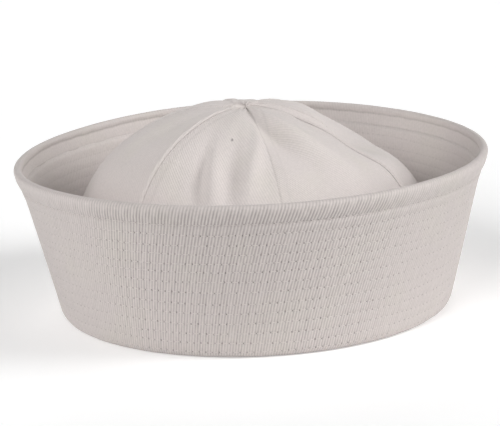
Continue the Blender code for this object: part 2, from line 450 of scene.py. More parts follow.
        light = self._light(tree, place, twill)
        # Painted shade: the kept share darkens the tinted colour
        grey = add_node(tree, "CombineColor", (light, light, light))
        shaded = {0: 1.0, 6: self._tinted(tree, place), 7: grey}
        look = {
            "Base Color": add_node(tree, "Mix", shaded, 2, data_type="RGBA", blend_type="MULTIPLY"),
            "Normal": self._relief(tree, place, woven),
            "Roughness": self.roughness,
            "Specular IOR Level": self.gloss,
            "Sheen Weight": self.sheen,
            "Sheen Roughness": 0.5,
        }
        fill_sockets(tree, tree.nodes["Principled BSDF"], look)
        return material


@dataclass(frozen=True)
class PlainFinish:
    """One even, unpatterned, matt finish.

    Attributes:
        name: Name of the material.
        colour: sRGB hex.
        roughness: Roughness of the surface.
        gloss: Level of the mirrored light.
        glow: Light that it gives off.
    """

    name: str
    colour: str
    roughness: float = 0.9
    gloss: float = 0.15
    glow: float = 0.0

    def make(self) -> bpy.types.Material:
        """Makes the material."""
        material = bpy.data.materials.new(self.name)
        material.use_nodes = True
        tree = material.node_tree
        look = {
            "Base Color": linear(self.colour),
            "Roughness": self.roughness,
            "Specular IOR Level": self.gloss,
            "Emission Color": linear("FFFFFF"),
            "Emission Strength": self.glow,
        }
        fill_sockets(tree, tree.nodes["Principled BSDF"], look)
        return material


# Heavy drill whose ribs are in the mesh: the drawn twill stays faint and the threads are coarse. Its colour
# is painted darker than the crown's, for the same white drill, as painted shade.
RIBBED_DRILL = DrillFinish(
    "brim_cotton_drill", colour="C6BEBB", hole_pitch=STITCH, twill_height=0.00001, thread_height=0.00004
)


@dataclass(frozen=True)
class Finishes:
    """The cap's materials, all of bleached cotton.

    Attributes:
        crown: Smooth woven drill with a fine slanting twill that shows in its soft folds; its colour is
            painted lighter than the brim's, for the same drill, as painted light.
        brim: Heavy ribbed drill: its ribs, with painted shade in its grooves and needle holes, give it a
            grainy grey-white; its colour is painted darker than the crown's, as painted shade.
        lining: Almost smooth drill on the brim's inner face, with faint rows of holes in painted shade; its
            colour is painted darker than the crown's, as painted shade.
        hem: The brim's drill turned over the rim: painted a shade lighter than the brim, as painted light,
            with painted shade in its grooves.
        thread: Spun cotton sewing thread: a little lighter than the brim, so stitches show as fine dots.
    """

    crown: bpy.types.Material = field(
        default_factory=DrillFinish(
            "crown_cotton_drill",
            # Painted lighter than the brim's colour for the same white drill, as painted light
            colour="D8D0CD",
            tint="D6D0C8",
            twill_height=0.00008,
            # Painted shade between the twill lines, and along the seams through crevice
            twill_shade=0.065,
            crevice=0.22,
            speck=(-0.0083, -0.0405, 0.0910),
        ).make
    )
    brim: bpy.types.Material = field(default_factory=RIBBED_DRILL.make)
    # Left at the default colour, painted darker than the crown's, as painted shade
    lining: bpy.types.Material = field(
        default_factory=DrillFinish("lining_cotton_drill", crevice=0.25, hole_pitch=STITCH).make
    )
    # A shade lighter than the brim's colour, as painted light, with deeper painted shade in its grooves
    hem: bpy.types.Material = field(
        default_factory=replace(RIBBED_DRILL, name="hem_cotton_drill", colour="C9C1BE", crevice=0.44).make
    )
    thread: bpy.types.Material = field(default_factory=PlainFinish("cotton_thread", "D6CECB").make)


def dress(
    piece: bpy.types.Object, material: bpy.types.Material, replaces: str | None = None
) -> bpy.types.Object:
    """Gives a piece its material and its body, and hides the CAD node that it stands for.

    Args:
        piece: The object.
        material: Its material.
        replaces: The CAD node, where it stands for one.

    Returns:
        The object.
    """
    piece.data.materials.append(material)
    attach(piece, "root")
    if replaces:
        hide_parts(replaces)
    piece.data.calc_loop_triangles()
    LOG.info("%s: %d triangles", piece.name, len(piece.data.loop_triangles))
    return piece


# Brim


class Sway(NamedTuple):
    """A slow wave along the rim."""

    turns: int
    rise: float  # share of the brim's height
    crest: float


@dataclass(frozen=True)
class BrimForm:
    """The brim's shape: a wall that leans outwards from a round lower fold to a slightly oval rim.

    Attributes:
        foot_radius: Radius where the fold touches the ground.
        height: Height of the rim.
        width: Outer size of the rim from side to side.
        length: Outer size of the rim from front to back.
        flare: How much more the last stretch of the wall curls out.
        flare_height: Height of that stretch.
        fold_radius: Outer radius of the lower fold.
        flange: Width of the flat flange inside the fold.
        hem_proud: How far the hem stands out of each face of the wall.
        limp: How far soft cloth wanders off the even shape.
        slackness: Scale of that wander over the height, which is largest half way up.
        held: Share of the height at which the wander would end, just above the rim.
        limpness: The waves in which it wanders.
        sways: The slow waves along the rim.
    """

    foot_radius: float = FOOT_RADIUS
    height: float = 0.0757
    width: float = 0.2298
    length: float = 0.2360
    flare: float = 0.0008
    flare_height: float = 0.018
    fold_radius: float = 0.0055
    flange: float = 0.0028
    hem_proud: float = 0.0005
    limp: float = 0.0004
    slackness: float = 2.6
    held: float = 1.15
    limpness: Wander = Wander(seed=11, fastest=9, climb=60.0)
    sways: tuple[Sway, ...] = (Sway(1, 0.021, 16.0), Sway(2, 0.011, -4.0), Sway(3, 0.006, -53.0))

    @property
    def rim_radius(self) -> float:
        """Mean radius of the wall's outer face at the rim, without the flare."""
        return (self.width + self.length) / 4 - self.hem_proud - self.flare

    @property
    def lean(self) -> float:
        """Angle of the wall from the vertical."""
        across, up = self.rim_radius - self.foot_radius, self.height - self.fold_radius
        return math.atan2(across, up) - math.asin(self.fold_radius / math.hypot(across, up))

    @property
    def run(self) -> float:
        """Travel at the rim."""
        return (self.height - self.fold_radius * (1 - math.sin(self.lean))) / math.cos(self.lean)

    @property
    def arc(self) -> float:
        """Length of the fold, from the ground to the wall."""
        return (math.pi / 2 - self.lean) * self.fold_radius

    def profile(self, travel: np.ndarray, depth: np.ndarray | float) -> tuple[np.ndarray, np.ndarray]:
        """Radius and height of the round brim at a travel and a depth."""
        turn = np.clip(math.pi / 2 - self.lean + np.minimum(travel, 0.0) / self.fold_radius, 0.0, None)
        reach = self.fold_radius - depth
        up = np.maximum(travel, 0.0)
        flat = np.minimum(travel + self.arc, 0.0)
        radius = self.foot_radius + reach * np.sin(turn) + up * math.sin(self.lean) + flat
        return radius, self.fold_radius - reach * np.cos(turn) + up * math.cos(self.lean)

    def place(self, azimuth: np.ndarray, travel: np.ndarray, depth: np.ndarray) -> np.ndarray:
        """Points of the brim, on its oval, flared and slightly waved rim.

        Args:
            azimuth: Degrees from the front.
            travel: Travel up the cloth.
            depth: Depth inside the outer face.

        Returns:
            One row of x, y and z for each point.
        """
        radius, height = self.profile(travel, depth)
        turn = np.radians(azimuth)
        lift = np.maximum(0.0, (height - self.fold_radius) / (self.height - self.fold_radius))
        flare = smooth_step(1.0 - (self.height - height) / self.flare_height)
        radius = radius + (self.length - self.width) / 4 * np.cos(2 * turn) * lift + self.flare * flare
        slack = lift * (self.held - lift) * self.slackness
        radius = radius + self.limp * slack * self.limpness.at(azimuth, travel)
        rise = sum(sway.rise * np.cos(sway.turns * (turn - math.radians(sway.crest))) for sway in self.sways)
        height = height + rise * self.height * lift
        return np.stack((radius * np.sin(turn), -radius * np.cos(turn), height), -1)


class StitchRow(NamedTuple):
    """A row of quilting stitches round the brim."""

    travel: float
    reach: float  # how far it wanders up and down


STITCH_ROWS = tuple(
    StitchRow(travel, reach)
    for travel, reach in (
        (-0.0009, 0.0003), (0.0039, 0.0004), (0.0088, 0.0005), (0.0142, 0.0004), (0.0195, 0.0005),
        (0.0245, 0.0005), (0.0303, 0.0004), (0.0355, 0.0005), (0.0406, 0.0005), (0.0449, 0.0004),
        (0.0496, 0.0005), (0.0542, 0.0004), (0.0596, 0.0004),
    )
)
HEM_ROW = StitchRow(0.0651, 0.00015)
RIM_CREASE = StitchRow(0.0704, 0.0005)  # on the hem's inner face, under its rolled edge


@dataclass(frozen=True)
class Quilting:
    """Rows of machine stitches through both plies of the brim. Each row draws on seeds of its own.

    Attributes:
        rows: The rows.
        stitch: Length of a stitch.
        puff: How far the cloth swells between two rows.
        pit: Depth of a needle hole.
        clear: How clearly a needle hole shows on the whole, from 0 to 1.
        patchy: How much clearer holes show in some stretches of a row than in others.
        scatter: How much neighbouring holes differ.
        faintest: How clearly the faintest hole still shows.
        seed: Picks how the rows wander.
    """

    rows: tuple[StitchRow, ...] = STITCH_ROWS
    stitch: float = STITCH
    puff: float = 0.00022
    pit: float = 0.0005
    clear: float = 0.80
    patchy: float = 0.33
    scatter: float = 0.22
    faintest: float = 0.04
    seed: int = 70

    def wobble(self, row: int, azimuth: np.ndarray) -> np.ndarray:
        """How far a row lies above its mean travel."""
        slow_share, quick_share = 0.6, 0.2
        slow = Wander(seed=self.seed + row, fastest=11, count=5).at(azimuth)
        quick = Wander(seed=self.seed + 40 + row, slowest=30, fastest=70, count=4).at(azimuth)
        return self.rows[row].reach * (slow_share * slow + quick_share * quick)

    def radius(self, row: int, form: BrimForm) -> float:
        """Mean radius of the brim at a row."""
        radius, _ = form.profile(np.array(self.rows[row].travel), 0.0)
        return float(radius)

    def spacing(self, row: int, radius: float) -> tuple[int, float]:
        """How many stitches a row of that mean radius has, and the share of a stitch where it starts."""
        shortest, longest = 0.97, 1.04  # a row's stitches, as shares of the usual one
        random = np.random.default_rng(self.seed * 7 + row)
        stitch = self.stitch * random.uniform(shortest, longest)
        return round(math.tau * radius / stitch), random.uniform(0, 1)

    def holes(self, row: int, radius: float) -> tuple[np.ndarray, np.ndarray]:
        """Needle holes of a row.

        Args:
            row: Number of the row.
            radius: Mean radius of the brim there.

        Returns:
            The holes' azimuths, and how clearly each shows, from 0 to 1.
        """
        count, start = self.spacing(row, radius)
        random = np.random.default_rng(self.seed * 11 + row)
        azimuth = (np.arange(count) + start) * 360.0 / count
        stretches = Wander(seed=self.seed + 90 + row, slowest=5, fastest=60)
        shown = self.clear + self.patchy * stretches.at(azimuth)
        return azimuth, np.clip(shown + random.normal(0, self.scatter, count), self.faintest, 1.0)


@dataclass(frozen=True)
class Ribs:
    """The drill's ribs, which lean as they climb the brim.

    Attributes:
        form: The brim's shape.
        count: Ribs round the cap.
        foot_lean: Degrees by which a rib leans from the upright at the fold, its top towards +X.
        rim_lean: The same at the rim.
        depth: Depth of the groove between two ribs.
        wear: Share of the ribs that hands have worn away at the cap's sides.
        worn_from: Sine of the azimuth at which that wear begins.
        worn_over: How much further the sine goes until it is full.
        worn_turn: Degrees by which the worn places are turned round the cap.
    """

    form: BrimForm
    count: int = 464
    foot_lean: float = 9.0
    rim_lean: float = 16.0
    depth: float = 0.00024
    wear: float = 0.5
    worn_from: float = 0.48
    worn_over: float = 0.26
    worn_turn: float = 3.0

    def drift(self, travel: np.ndarray) -> np.ndarray:
        """Degrees by which a rib has turned round the cap at a travel."""
        past_rim, samples = 0.002, 400
        steps = np.linspace(-self.form.arc - self.form.flange, self.form.run + past_rim, samples)
        radius, _ = self.form.profile(steps, 0.0)
        share = np.clip(steps / self.form.run, 0.0, 1.0)
        lean = np.radians(self.foot_lean + (self.rim_lean - self.foot_lean) * share)
        turned = running_total((np.tan(lean) / radius)[1:] * np.diff(steps))
        return np.degrees(np.interp(travel, steps, turned))

    def crispness(self, azimuth: np.ndarray) -> np.ndarray:
        """How crisp the cloth still is: 1 at the front and the back, less at the sides."""
        sideways = np.abs(np.sin(np.radians(azimuth + self.worn_turn)))
        return 1.0 - self.wear * smooth_step((sideways - self.worn_from) / self.worn_over)

    def groove(self, phase: np.ndarray) -> np.ndarray:
        """0 on a rib's crest and 1 in the groove, phase counting ribs."""
        return 0.5 - 0.5 * np.cos(math.tau * phase)


class ProfileRow(NamedTuple):
    """One row of points round the brim."""

    travel: float
    depth: float
    out: float  # how much of relief goes outwards, towards less depth
    up: float  # how much of relief goes up, towards more travel
    ribs: float  # how much of the ribs shows here
    stitch: int = -1  # the stitch row that this row of points follows
    side: float = 0.0  # distance above or below that stitch row
    crease: float = 0.0  # how dark the painted shade of a crease is here


@dataclass
class BrimBand:
    """A closed ring of ribbed, quilted cloth: a ply of the brim or its hem.

    Attributes:
        name: Name of the piece.
        form: The brim's shape.
        ribs: The cloth's ribs.
        quilting: The stitches through it.
        rows: Its closed profile.
        columns_per_rib: Points across a rib.
        softness: Share of the ribs' strength that is missing at the fold.
        unevenness: How much that strength varies from place to place.
        patches: The waves in which it varies.
        worn_rib_painted_shade: An even painted shade on ribs worn flatter at the sides, as a share of a
            groove's painted shade.
        pull: Distance from a row of stitches over which it pulls the cloth in.
        billow: How much the swell between two rows varies.
        billows: The waves in which it varies.
        most_swell: The fullest swell, as a share of the even one.
        dimple: Radius of the dimple at a needle hole.
        off_row: Distance that the finish reads as well away from any row of stitches.
    """

    name: str
    form: BrimForm
    ribs: Ribs
    quilting: Quilting
    rows: list[ProfileRow]
    columns_per_rib: int = 4
    softness: float = 0.25
    unevenness: float = 0.16
    patches: Wander = Wander(seed=5, slowest=40, fastest=160, climb=900.0)
    worn_rib_painted_shade: float = 0.3
    pull: float = 0.0008
    billow: float = 0.3
    billows: Wander = Wander(seed=8, slowest=12, fastest=50, climb=300.0)
    most_swell: float = 1.2
    dimple: float = 0.0003
    off_row: float = 0.002

    def build(self) -> bpy.types.Object:
        """Builds the ring's mesh."""
        columns, rows = self.ribs.count * self.columns_per_rib, len(self.rows)
        cloth = ClothMesh(self.name, columns, rows)
        table = np.array(self.rows, float)
        travel, depth, out, up, ribs, stitch, side, crease = table[cloth.grid.row % rows].T
        stitch = stitch.astype(int)
        numbers = sorted(set(stitch[stitch >= 0]))
        phase = cloth.grid.column % columns / self.columns_per_rib
        upright = 360.0 * phase / self.ribs.count
        azimuth = upright + self.ribs.drift(travel)

        # Rows of points follow their row of stitches
        shift = np.zeros(len(travel))
        for number in numbers:
            here = stitch == number
            shift[here] = self.quilting.wobble(number, azimuth[here])
        travel = travel + shift
        azimuth = upright + self.ribs.drift(travel)

        # Ribs of uneven strength, softer towards the fold and worn flatter at the cap's sides
        uneven = 1.0 + self.unevenness * self.patches.at(azimuth, travel)
        crispness = self.ribs.crispness(azimuth)
        strength = ribs * (1.0 - self.softness + self.softness * smooth_step(travel / self.form.run))
        strength = strength * crispness
        groove = self.ribs.groove(phase)
        relief = -self.ribs.depth * groove * strength * uneven

        # Cloth swells between rows of stitches and is pulled in at them
        swell = np.where(stitch >= 0, 1.0 - bell(side / self.pull), 1.0)
        swell = swell * (1.0 + self.billow * self.billows.at(azimuth, travel))
        relief = relief - self.quilting.puff * (1.0 - np.clip(swell, 0.0, self.most_swell)) * (ribs > 0)

        # Needle holes: a dimple at each, how clearly its painted shade shows, and where each point lies along
        # its row of stitches
        pit = np.zeros(len(travel))
        counted = np.zeros(len(travel))
        shown_ribs = np.clip(ribs, 0.0, 1.0)
        unwrapped = 360.0 * (cloth.grid.column / self.columns_per_rib) / self.ribs.count
        unwrapped = unwrapped + self.ribs.drift(travel)
        for number in numbers:
            radius = self.quilting.radius(number, self.form)
            _, shown = self.quilting.holes(number, radius)
            count, start = self.quilting.spacing(number, radius)
            here = stitch == number
            steps = unwrapped[here] * count / 360.0 - start
            counted[here] = steps + 0.5
            pit[here] = shown[np.rint(steps).astype(int) % count] * (shown_ribs[here] * crispness[here])
            from_hole = np.abs(steps - np.rint(steps)) * self.quilting.stitch
            dimple = bell(from_hole / self.dimple) * (side[here] == 0)
            relief[here] -= self.quilting.pit * pit[here] * dimple

        cloth.bend(self.form.place(azimuth, travel + up * relief, depth - out * relief))
        round_the_cap = cloth.grid.column / columns * math.tau * self.form.rim_radius
        along = running_total(np.hypot(*np.diff(table[:, :2], axis=0).T))
        whole = along[-1] + math.hypot(*(table[0, :2] - table[-1, :2]))
        cloth.lay_out(CLOTH_MAP, round_the_cap, np.append(along, whole)[cloth.grid.row])
        cloth.lay_out(STITCH_MAP, counted, np.where(stitch >= 0, np.abs(side), self.off_row))
        cloth.note(PIT, pit)
        # Painted shade on ribs worn flatter at the sides, as a share of a groove's painted shade
        worn_rib_shade = self.worn_rib_painted_shade * (1.0 - crispness) * shown_ribs
        # Painted shade in grooves and creases, with the worn flat ribs' painted shade, for the crevice
        # attribute
        shade = groove * np.clip(strength * uneven, 0.0, 1.0) + crease + worn_rib_shade
        cloth.note(CREVICE, np.clip(shade, 0.0, 1.0))
        return cloth.close(lambda grid: (grid.column % columns == 0) | (grid.row % rows == 0))


class StitchLine(NamedTuple):
    """Stitches laid end to end, one to a row of each array."""

    starts: np.ndarray  # where the needle went in first
    ends: np.ndarray  # where it went in next
    outward: np.ndarray  # direction out of the cloth


@dataclass
class Stitching:
    """Many short stitches as one piece.

    Attributes:
        name: Name of the piece.
        lines: The stitches.
        radius: Radius of the thread.
        arch: How far the middle of a stitch stands above its ends.
        dip: How far below the cloth's face a stitch ends.
        sides: Points round the thread.
        shares: Where the rings of points lie, as shares of a stitch's length.
        widths: Width of the thread at each ring, as a share of its own.
        flatness: Exponent that flattens the arch's middle.
    """

    name: str
    lines: list[StitchLine]
    radius: float = 0.00010
    arch: float = 0.00018
    dip: float = 0.00030
    sides: int = 5
    shares: tuple[float, ...] = (0.0, 0.04, 0.2, 0.5, 0.8, 0.96, 1.0)
    widths: tuple[float, ...] = (0.0, 0.7, 1.0, 1.05, 1.0, 0.7, 0.0)
    flatness: float = 0.6

    def build(self) -> bpy.types.Object:
        """Builds the stitches as closed, tapered threads."""
        starts, ends, outward = (np.concatenate(parts) for parts in zip(*self.lines))
        shares, widths = np.array(self.shares), np.array(self.widths)
        lifts = np.sin(math.pi * shares) ** self.flatness * self.arch - self.dip
        rings = len(shares)
        cloth = ClothMesh(self.name, self.sides, len(starts) * rings - 1)
        stitch, ring = np.divmod(cloth.grid.row, rings)
        turn = math.tau * (cloth.grid.column % self.sides) / self.sides
        along = unit(ends[stitch] - starts[stitch])
        out = outward[stitch]
        beside = np.cross(along, out)
        middle = starts[stitch] + (ends[stitch] - starts[stitch]) * shares[ring][:, None]
        middle = middle + out * lifts[ring][:, None]
        width = (self.radius * widths[ring])[:, None]
        cloth.bend(middle + width * (np.cos(turn)[:, None] * out + np.sin(turn)[:, None] * beside))

        def seams(grid: Grid) -> np.ndarray:
            """The line along each thread, and its two tips."""
            tips = (grid.row % rings == 0) | (grid.row % rings == rings - 1)
            return (grid.column % self.sides == 0) | tips

        return cloth.close(seams, gap_rows=rings)


@dataclass
class Brim:
    """The turned-up brim: two quilted plies under a hem.

    Attributes:
        form: The brim's shape.
        gap: Clearance between the plies.
        hem_height: Height of the hem.
        tuck: How far the plies reach up under the hem.
        inner_start: Angle round the fold where the inner ply begins.
        row_sides: Distance of the points above and below a row of stitches.
        edge_margin: A ply's first row of stitches lies at least this much further from its edge.
        lining_ribs: Share of the ribs that shows on the brim's inner face.
        lining_crease: How dark the painted shade at a row of stitches is there.
        hem_margin: From the hem's lower edge to its row of stitches.
        hem_sides: Rows of points beside that row of stitches.
        hem_taper: Height over which the hem's outer face rises from the ply.
        hem_bulge: How far that face swells.
        hem_ribs: Depth of the groove between two ribs of the hem.
        foot_proud: How far the hem's lower edges stand out of the plies.
        pressed: Share of the ribs that is pressed flat at the rim.
        shoulder: Radius of the rolled edge at the rim.
        inner_ribs: Share of the ribs that shows on the hem's inner face.
        inner_shade: How dark the painted shade at its row of stitches is.
        crease_sides: Rows of points beside the crease under the rolled edge.
        crease_shades: How dark the painted shade in that crease is at each.
        crease_dip: Depth of that crease.
        notch: From the plies' upper edges to the inside of the hem.
        sunk: How far the hem's turned-in edges lie inside the plies' faces.
        thread_rise: How far the hem's threads stand out of its faces.
    """

    form: BrimForm = field(default_factory=BrimForm)
    gap: float = 0.0003
    hem_height: float = 0.0096
    tuck: float = 0.0003
    inner_start: float = math.radians(15.0)
    row_sides: float = 0.00055
    edge_margin: float = 0.0008
    lining_ribs: float = 0.2
    lining_crease: float = 0.16
    hem_margin: float = 0.0006
    hem_sides: tuple[float, ...] = (-0.0004, 0.0, 0.0004)
    hem_taper: float = 0.0050
    hem_bulge: float = 0.00022
    hem_ribs: float = 0.00032
    foot_proud: float = 0.00001
    pressed: float = 0.3
    shoulder: float = 0.0016
    inner_ribs: float = 0.12
    inner_shade: float = 0.08
    crease_sides: tuple[float, ...] = (-0.0008, -0.0004, 0.0, 0.0004, 0.0009)
    crease_shades: tuple[float, ...] = (0.0, 0.16, 0.32, 0.20, 0.0)
    crease_dip: float = 0.00010
    notch: float = 0.0002
    sunk: float = 0.0004
    thread_rise: float = 0.00002
    outer_quilting: Quilting = Quilting()
    inner_quilting: Quilting = Quilting(puff=0.00020, pit=0.0003)
    hem_quilting: Quilting = Quilting((HEM_ROW, RIM_CREASE), puff=0.00006, pit=0.0004, clear=1.1, seed=31)

    @property
    def ply_top(self) -> float:
        """Travel of the plies' upper edges."""
        return self.form.run - self.hem_height + self.tuck

    @property
    def hem_foot(self) -> float:
        """Travel of the hem's lower edges."""
        return HEM_ROW.travel - self.hem_margin

    @property
    def hem_shoulder(self) -> float:
        """From the hem's lower edge to where its rolled edge begins."""
        return self.form.run - HEM_ROW.travel + self.hem_margin - self.shoulder

    @property
    def wall(self) -> float:
        """Thickness of the two plies together."""
        return 2 * PLY + self.gap

    def _face_rows(
        self, depth: float, out: float, first: float, ribs: float, crease: float = 0.0
    ) -> list[ProfileRow]:
        """Rows of points up a ply's shown face, three to a row of stitches."""
        beside = self.row_sides
        edge = first + self.edge_margin
        first_stitch = next(n for n, row in enumerate(STITCH_ROWS) if row.travel - beside > edge)
        lead = np.linspace(first, STITCH_ROWS[first_stitch].travel - beside, 6)[:-1]
        rows = [ProfileRow(float(t), depth, out, 0.0, ribs) for t in lead]
        for number in range(first_stitch, len(STITCH_ROWS)):
            for side in (-beside, 0.0, beside):
                travel = STITCH_ROWS[number].travel + side
                # Painted shade along the row of stitches itself
                dark = 0.0 if side else crease
                rows.append(ProfileRow(travel, depth, out, 0.0, ribs, number, side, dark))
        rows.append(ProfileRow((STITCH_ROWS[-1].travel + self.ply_top) / 2, depth, out, 0.0, ribs))
        rows.append(ProfileRow(self.ply_top, depth, out, 0.0, ribs))
        return rows

    def _hidden_rows(self, depth: float, first: float) -> list[ProfileRow]:
        """Rows of points down a ply's hidden face, from its upper edge."""
        down = np.concatenate((np.linspace(self.ply_top, 0.0, 3), np.linspace(0.0, first, 4)[1:]))
        return [ProfileRow(float(t), depth, 0.0, 0.0, 0.0) for t in down]

    def build_outer(self, ribs: Ribs) -> bpy.types.Object:
        """The outer ply, from the flange up to the hem."""
        first = -self.form.arc - self.form.flange
        rows = self._face_rows(0.0, 1.0, first, 1.0) + self._hidden_rows(PLY, first)
        return BrimBand("brim_outer_cloth", self.form, ribs, self.outer_quilting, rows).build()

    def build_inner(self, ribs: Ribs) -> bpy.types.Object:
        """The inner ply, whose shown face looks at the crown."""
        first = -self.form.arc + self.inner_start * self.form.fold_radius
        rows = self._face_rows(self.wall, -1.0, first, self.lining_ribs, self.lining_crease)
        rows += self._hidden_rows(PLY + self.gap, first)
        band = BrimBand("brim_inner_cloth", self.form, ribs, self.inner_quilting, rows, columns_per_rib=2)
        return band.build()

    def _hem_outer_rows(self) -> list[ProfileRow]:
        """Rows of points up the hem's outer face, whose foot thins out onto the ply."""
        first_rise, bulge_from, bulge_run = 0.0016, 0.001, 0.0085
        pressed_from, pressed_run = 0.0050, 0.0032
        rises = [self.hem_margin + side for side in self.hem_sides]
        rises += [float(rise) for rise in np.linspace(first_rise, self.hem_shoulder, 10)]
        rows = []
        for number, rise in enumerate(rises):
            bulge = math.sin(math.pi * min(1.0, max(0.0, (rise - bulge_from) / bulge_run)))
            share = ramp(rise, 0.0, self.hem_taper)
            proud = self.foot_proud + (self.form.hem_proud - self.foot_proud) * share
            proud += self.hem_bulge * bulge
            ribs = 1.0 - self.pressed * ramp(rise, pressed_from, pressed_run)
            stitch, side = (0, self.hem_sides[number]) if number < len(self.hem_sides) else (-1, 0.0)
            rows.append(ProfileRow(self.hem_foot + rise, -proud, 1.0, 0.0, ribs, stitch, side))
        return rows + self._rim_turn(1.0, -self.form.hem_proud, 1.0 - self.pressed)

    def _hem_inner_rows(self) -> list[ProfileRow]:
        """Rows of points up the hem's inner face, flush with the ply up to the crease."""
        flush_rises, under_shoulder = (0.0018, 0.0030, 0.0042), 0.0006
        step_from, step_run, crease_width = -0.0004, 0.0020, 0.0006
        crease = RIM_CREASE.travel - self.hem_foot
        # The last number of each place is how dark its painted shade is, at the row of stitches and in the
        # crease
        places = [(self.hem_margin + s, 0, s, 0.0 if s else self.inner_shade) for s in self.hem_sides]
        places += [(rise, -1, 0.0, 0.0) for rise in flush_rises]
        places += [(crease + s, 1, s, dark) for s, dark in zip(self.crease_sides, self.crease_shades)]
        places += [(self.hem_shoulder - under, -1, 0.0, 0.0) for under in (under_shoulder, 0.0)]
        rows = []
        for rise, stitch, side, dark in places:
            share = ramp(rise - crease, step_from, step_run)
            dip = self.crease_dip * float(bell(np.array((rise - crease) / crease_width)))
            proud = self.foot_proud + (self.form.hem_proud - self.foot_proud) * share - dip
            place = self.hem_foot + rise, self.wall + proud
            rows.append(ProfileRow(*place, -1.0, 0.0, self.inner_ribs, stitch, side, dark))
        return rows + self._rim_turn(-1.0, self.wall + self.form.hem_proud, self.inner_ribs)

    def _rim_turn(self, out: float, proud_face: float, ribs: float) -> list[ProfileRow]:
        """Rows of points from a face of the hem over to the rim's top, where ribs are pressed flat."""
        rows = []
        for turn in np.radians((22.5, 45.0, 67.5, 90.0)):
            across, up = math.cos(turn), math.sin(turn)
            travel = self.form.run - self.shoulder * (1 - up)
            depth = proud_face + out * self.shoulder * (1 - across)
            shown = ribs * across + self.pressed * (1 - across)
            rows.append(ProfileRow(travel, depth, out * across, up, shown))
        return rows

    def _hem_rows(self) -> list[ProfileRow]:
        """The hem's closed profile: a soft rolled edge whose feet thin out onto the plies."""
        inside = self.ply_top + self.notch
        travels = (self.hem_foot, inside, inside, inside, self.hem_foot)
        deep = self.wall - self.sunk
        depths = (deep, deep, self.wall / 2, self.sunk, self.sunk)
        closing = [ProfileRow(travel, depth, 0.0, 0.0, 0.0) for travel, depth in zip(travels, depths)]
        return self._hem_outer_rows() + self._hem_inner_rows()[::-1] + closing

    def build_hem(self, ribs: Ribs) -> bpy.types.Object:
        """The hem over the rim."""
        return BrimBand("rim_hem_cloth", self.form, ribs, self.hem_quilting, self._hem_rows()).build()

    def _stitch_lines(self, quilting: Quilting, numbers: range, depth: float, out: float) -> list[StitchLine]:
        """The stitches of some rows on one face of the brim."""
        above = 0.001  # a point this far over the face shows which way is out
        lines = []
        for number in numbers:
            azimuth, _ = quilting.holes(number, quilting.radius(number, self.form))
            azimuth = np.sort(azimuth)
            travel = quilting.rows[number].travel + quilting.wobble(number, azimuth)
            face = depth + quilting.puff * out
            points, proud = (
                self.form.place(azimuth, travel, np.full(len(azimuth), level))
                for level in (face, face - out * above)
            )
            lines.append(StitchLine(points, np.roll(points, -1, axis=0), unit(proud - points)))
        return lines

    def build_stitches(self) -> list[bpy.types.Object]:
        """The threads on the outer face, on the inner face and on the hem."""
        every, hem_row = range(len(STITCH_ROWS)), range(1)
        lines = {
            "brim_stitches_outer": self._stitch_lines(self.outer_quilting, every, 0.0, 1.0),
            "brim_stitches_inner": self._stitch_lines(self.inner_quilting, every[2:], self.wall, -1.0),
            "hem_stitches": self._stitch_lines(self.hem_quilting, hem_row, -self.thread_rise, 1.0)
            + self._stitch_lines(self.hem_quilting, hem_row, self.wall + self.thread_rise, -1.0),
        }
        return [Stitching(name, laid).build() for name, laid in lines.items()]

    def build(self, finishes: Finishes) -> None:
        """Builds and dresses the whole brim."""
        ribs = Ribs(self.form)
        dress(self.build_outer(ribs), finishes.brim, "brim_outer_ply")
        dress(self.build_inner(ribs), finishes.lining, "brim_inner_ply")
        dress(self.build_hem(replace(ribs, depth=self.hem_ribs)), finishes.hem, "rim_hem")
        for threads, slot in zip(self.build_stitches(), (Slot.BRIM, Slot.BRIM, Slot.HEM)):
            dress(threads, finishes.thread)


# Crown


class Fold(NamedTuple):
    """A soft fold of the crown: a groove, or a ridge where its depth is negative."""

    azimuth: float
    level: float
    spread: float  # half its width in degrees
    reach: float  # half its length, in levels
    lean: float  # azimuth that it gains from foot to apex
    depth: float  # share of the crown's radius


